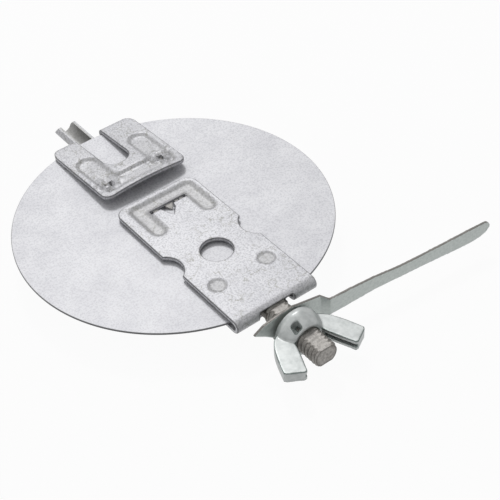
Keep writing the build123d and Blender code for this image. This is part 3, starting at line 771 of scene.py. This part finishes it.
def make_pivot_clamp():
    """The far clamp, its tongue curled into the pivot pin, and the tongues of its lances."""
    low_u = -PC_FOLD_RUN - (PC_LOW_END - PC_FOLD_X)
    high_u = PC_NEAR_X - PC_FOLD_X
    side_run = high_u - (PC_CORNER + LEAF_CUT) - low_u
    steps = [low_u + LEAF_CUT + side_run * k / 120 for k in range(121)]
    outer = [(u, -pc_side(u)) for u in steps]
    outer += arc_points(high_u - PC_CORNER, PC_CORNER - PC_HALF, PC_CORNER, -90, 0, 8)
    outer += arc_points(high_u - PC_CORNER, PC_HALF - PC_CORNER, PC_CORNER, 0, 90, 8)
    outer += [(u, pc_side(u)) for u in reversed(steps)]
    outer += [(low_u, PC_HALF - LEAF_CUT), (low_u, LEAF_CUT - PC_HALF)]
    # the slot runs over the fold; below it is the tongue's width
    centre = PC_SLOT_SHIFT - PC_SHIFT
    low_side, high_side = centre - PC_SLOT_HALF, centre + PC_SLOT_HALF
    tongue_low, tongue_high = -TONGUE_HALF - PC_SHIFT, TONGUE_HALF - PC_SHIFT
    end_u = PC_SLOT_END - PC_FOLD_X
    slot = arc_points(end_u - PC_SLOT_R, low_side + PC_SLOT_R, PC_SLOT_R, -90, 0, 10)
    slot += arc_points(end_u - PC_SLOT_R, high_side - PC_SLOT_R, PC_SLOT_R, 0, 90, 10)
    slot += [(-PC_FOLD_RUN, high_side), (-PC_FOLD_RUN, tongue_high)]
    slot += [(-PC_FOLD_RUN - TONGUE_RUN, tongue_high), (-PC_FOLD_RUN - TONGUE_RUN, tongue_low)]
    slot += [(-PC_FOLD_RUN, tongue_low), (-PC_FOLD_RUN, low_side + 0.05)]
    u = LANCE_X - PC_FOLD_X
    lances = [[(u - 0.9, v - 1.0), (u + 0.9, v), (u - 0.9, v + 1.0)] for v in LANCES_Y]
    mesh = formed_sheet(
        "pivot_clamp_sheet", outer, [slot] + lances, SHEET_STEP, pc_form, pc_rub_and_shade)
    place_piece(
        "pivot_clamp_sheet", mesh, GALVANISED_CLAMP, "blade_assembly",
        ["pivot_clamp"])
    outside, within = pivot_tongue()
    # painted shade: the curl's inside is darkened as a whole, for the shade and dark reflection in
    # it
    count = len(outside) * len(outside[0])
    masks = {"pressed": [0.1] * count + [1.0] * count}
    mesh = mesh_from("pivot_pin_tongue", *grid_solid(outside, within), masks)
    place_piece("pivot_pin_tongue", mesh, GALVANISED_CLAMP, "blade_assembly")
    mesh = mesh_from("pierced_lances", *joined([lance_tongue(PC_SHIFT + v) for v in LANCES_Y]))
    place_piece("pierced_lances", mesh, BRIGHT_TEAR, "blade_assembly")


make_handle_clamp()
make_pivot_clamp()


# ---------------------------------------------------------------- stud
def make_stud():
    """The threaded stud with its two flats, and the flattened spade and T head under the blade."""
    around, per_turn = 96, 14
    # shares of half a turn that are the thread's flat root and its flank
    root_flat, flank = 0.12, 0.72
    chamfer, chamfer_slope, hollow = 0.6, 0.7, 0.05
    rows = int((STUD_X1 - STUD_X0) / THREAD_PITCH * per_turn)
    points, faces = [], []
    for r in range(rows + 1):
        x = STUD_X0 + (STUD_X1 - STUD_X0) * r / rows
        for k in range(around):
            angle = 2 * math.pi * k / around
            phase = ((x / THREAD_PITCH) - k / around) % 1.0
            ridge = 1 - abs(2 * phase - 1)
            ridge = min(max((ridge - root_flat) / flank, 0.0), 1.0)
            radius = STUD_R - THREAD_DEPTH * (1 - ridge)
            radius = min(radius, STUD_R - max(0.0, x - (STUD_X1 - chamfer)) * chamfer_slope)
            y, z = radius * math.cos(angle), radius * math.sin(angle)
            # the flats are worn: the thread leaves faint hollows in them
            flat = STUD_FLAT - hollow * (1 - ridge)
            points.append((x, y, min(max(z, -flat), flat)))
    for r in range(rows):
        for k in range(around):
            a, b = r * around + k, r * around + (k + 1) % around
            faces.append((a, b, b + around, a + around))
    faces.append(tuple(reversed(range(around))))
    # the sawn end: rings keep its rough face apart from its rim, so the painted edge shade stays on
    # the rim
    last = rows * around
    rim = points[last:]
    for share in (0.88, 0.5, 0.15):
        start = len(points)
        points += [(STUD_X1, y * share, z * share) for _, y, z in rim]
        for k in range(around):
            after = (k + 1) % around
            faces.append((last + k, last + after, start + after, start + k))
        last = start
    faces.append(tuple(range(last, last + around)))
    mesh = mesh_from("threaded_stud", points, faces)
    place_piece("threaded_stud", mesh, ROLLED_STUD, "blade_assembly", ["stud"])
    spade_low, spade_end, head_x, head_end, head_half, head_cut = -0.4, 49.8, 38.0, 31.6, 11.0, 1.5
    one_side = [(spade_end, STUD_R), (head_x, STUD_R), (head_x, head_half),
                (head_end + head_cut, head_half), (head_end, head_half - head_cut)]
    outline = [(spade_end, -STUD_R)] + one_side + [(x, -y) for x, y in reversed(one_side[1:])]
    n = len(outline)
    points = [(x, y, z) for z in (spade_low, BLADE_LOW) for x, y in outline]
    faces = [tuple(range(n)), tuple(reversed(range(n, 2 * n)))]
    faces += [(k, (k + 1) % n, n + (k + 1) % n, n + k) for k in range(n)]
    mesh = mesh_from("stud_spade", points, faces)
    work = bmesh.new()
    work.from_mesh(mesh)
    bmesh.ops.bevel(
        work, geom=list(work.edges), offset=0.25 * MM, segments=3, affect="EDGES", profile=0.5)
    work.to_mesh(mesh)
    work.free()
    place_piece("stud_spade", mesh, ROLLED_STUD, "blade_assembly")


make_stud()


# ---------------------------------------------------------------- lever and wing nut
def mark_edges(mesh, rings=3):
    """Point attribute for painted edge shade: 0 on flat or gently domed sheet, more where the
    normals fan out.
    """
    normals = np.empty(len(mesh.vertices) * 3)
    mesh.vertices.foreach_get("normal", normals)
    normals = normals.reshape(-1, 3)
    pairs = np.empty(len(mesh.edges) * 2, int)
    mesh.edges.foreach_get("vertices", pairs)
    a, b = pairs.reshape(-1, 2).T
    for _ in range(rings):
        total, count = normals.copy(), np.ones(len(normals))
        for here, there in ((a, b), (b, a)):
            np.add.at(total, here, normals[there])
            np.add.at(count, here, 1)
        normals = total / count[:, None]
    edge_shade_mask = 1 - np.linalg.norm(normals, axis=1)
    mesh.attributes.new("edge_shade_mask", "FLOAT", "POINT").data.foreach_set("value", edge_shade_mask)


def softened(node_name, piece_name, voxel_mm, rounds, material, body, window=None):
    """The node's own solid with its sharp edges eased, as pressed sheet has.

    window is a box that is cut out of it, in mm.
    """
    mesh = nodes[node_name].data.copy()
    mesh.name = piece_name
    holder = bpy.data.objects.new("work", mesh)
    bpy.context.scene.collection.objects.link(holder)
    if window:
        lowest, highest = window
        corners = [(x, y, z) for x in (lowest[0], highest[0]) for y in (lowest[1], highest[1])
                   for z in (lowest[2], highest[2])]
        sides = [(0, 1, 3, 2), (4, 6, 7, 5), (0, 4, 5, 1), (2, 3, 7, 6), (0, 2, 6, 4), (1, 5, 7, 3)]
        cutter = bpy.data.objects.new("cutter", mesh_from("cutter", corners, sides))
        bpy.context.scene.collection.objects.link(cutter)
        cut = holder.modifiers.new("window", "BOOLEAN")
        cut.operation = "DIFFERENCE"
        cut.solver = "EXACT"
        cut.object = cutter
    fill = holder.modifiers.new("remesh", "REMESH")
    fill.mode = "VOXEL"
    fill.voxel_size = voxel_mm * MM
    ease = holder.modifiers.new("ease", "SMOOTH")
    ease.factor = 0.5
    ease.iterations = rounds
    eased = holder.evaluated_get(bpy.context.evaluated_depsgraph_get())
    result = bpy.data.meshes.new_from_object(eased)
    bpy.data.objects.remove(holder)
    if window:
        bpy.data.objects.remove(cutter)
    result.name = piece_name
    mark_edges(result)
    place_piece(piece_name, result, material, body, [node_name])


# the small window in the hub's near side, through its wall
HUB_WINDOW = ((60.6, -3.7, 3.6), (62.7, -1.5, 9.0))
softened(
    "wing_nut", "wing_nut_pressed", voxel_mm=0.2, rounds=5, material=BRIGHT_NUT,
    body="nut_body", window=HUB_WINDOW)
softened(
    "lever", "lever_sheet", voxel_mm=0.18, rounds=2, material=ZINC_LEVER,
    body="lever_body")


# ---------------------------------------------------------------- floor, world, lights
def seen_directly(tree):
    """1 for camera, transmission and glossy rays, which should meet plain white; 0 for the rest."""
    rays = add_node(tree, "ShaderNodeLightPath")
    seen = add_node(tree, "ShaderNodeMath", {"operation": "MAXIMUM"}, {
        0: (rays, "Is Camera Ray"), 1: (rays, "Is Transmission Ray")})
    seen = add_node(tree, "ShaderNodeMath", {"operation": "MAXIMUM"}, {
        0: (seen, "Value"), 1: (rays, "Is Glossy Ray")})
    return (seen, "Value")


low, high = Vector(cad_box[0]), Vector(cad_box[1])
middle = (low + high) / 2
FLOOR_REACH = 3.0
FLOOR_GAP = 0.5 * MM
corners = [(-1, -1), (1, -1), (1, 1), (-1, 1)]
floor_mesh = bpy.data.meshes.new("floor")
floor_mesh.from_pydata(
    [(x * FLOOR_REACH, y * FLOOR_REACH, low.z - FLOOR_GAP) for x, y in corners], [], [(0, 1, 2, 3)])
floor = bpy.data.objects.new("floor", floor_mesh)
bpy.context.scene.collection.objects.link(floor)
# matt white paper: plain white to the eye, with just a trace of the part's soft shadow
paper = bpy.data.materials.new("matt_white_paper")
paper.use_nodes = True
tree = paper.node_tree
tree.nodes.clear()
share = add_node(tree, "ShaderNodeMath", {"operation": "MULTIPLY"}, {
    0: seen_directly(tree), 1: 0.95})
matt = add_node(tree, "ShaderNodeBsdfDiffuse", inputs={"Color": linear("#f4f4f4")})
white = add_node(tree, "ShaderNodeEmission", inputs={"Color": (1, 1, 1, 1), "Strength": 1.0})
both = add_node(tree, "ShaderNodeMixShader", inputs={
    0: (share, "Value"), 1: (matt, "BSDF"), 2: (white, "Emission")})
add_node(tree, "ShaderNodeOutputMaterial", inputs={"Surface": (both, "Shader")})
floor_mesh.materials.append(paper)

world = bpy.data.worlds.new("soft_room")
bpy.context.scene.world = world
world.use_nodes = True
tree = world.node_tree
tree.nodes.clear()
room = add_node(tree, "ShaderNodeBackground", inputs={
    "Color": (0.98, 0.99, 1.0, 1), "Strength": 0.25})
white = add_node(tree, "ShaderNodeBackground", inputs={"Color": (1, 1, 1, 1), "Strength": 1.0})
both = add_node(tree, "ShaderNodeMixShader", inputs={
    0: seen_directly(tree), 1: (room, "Background"), 2: (white, "Background")})
add_node(tree, "ShaderNodeOutputWorld", inputs={"Surface": (both, "Shader")})


def soft_lamp(name, place, size, power):
    """A square lamp aimed at the middle of the part; place and size in metres, power in watts."""
    data = bpy.data.lights.new(name, "AREA")
    data.shape = "SQUARE"
    data.size = size
    data.energy = power
    lamp = bpy.data.objects.new(name, data)
    bpy.context.scene.collection.objects.link(lamp)
    lamp.location = place
    lamp.rotation_euler = (Vector(place) - middle).to_track_quat("Z", "Y").to_euler()


# a broad softbox for the sheets, a small key from behind for the contact shadows, and a weak fill
soft_lamp("overhead_softbox", (-0.5, -0.2, 0.95), size=1.2, power=1.9)
soft_lamp("back_key", (-0.68, 0.34, 0.97), size=0.2, power=3.75)
soft_lamp("left_fill", (-0.4, -0.9, 0.6), size=0.9, power=0.5)
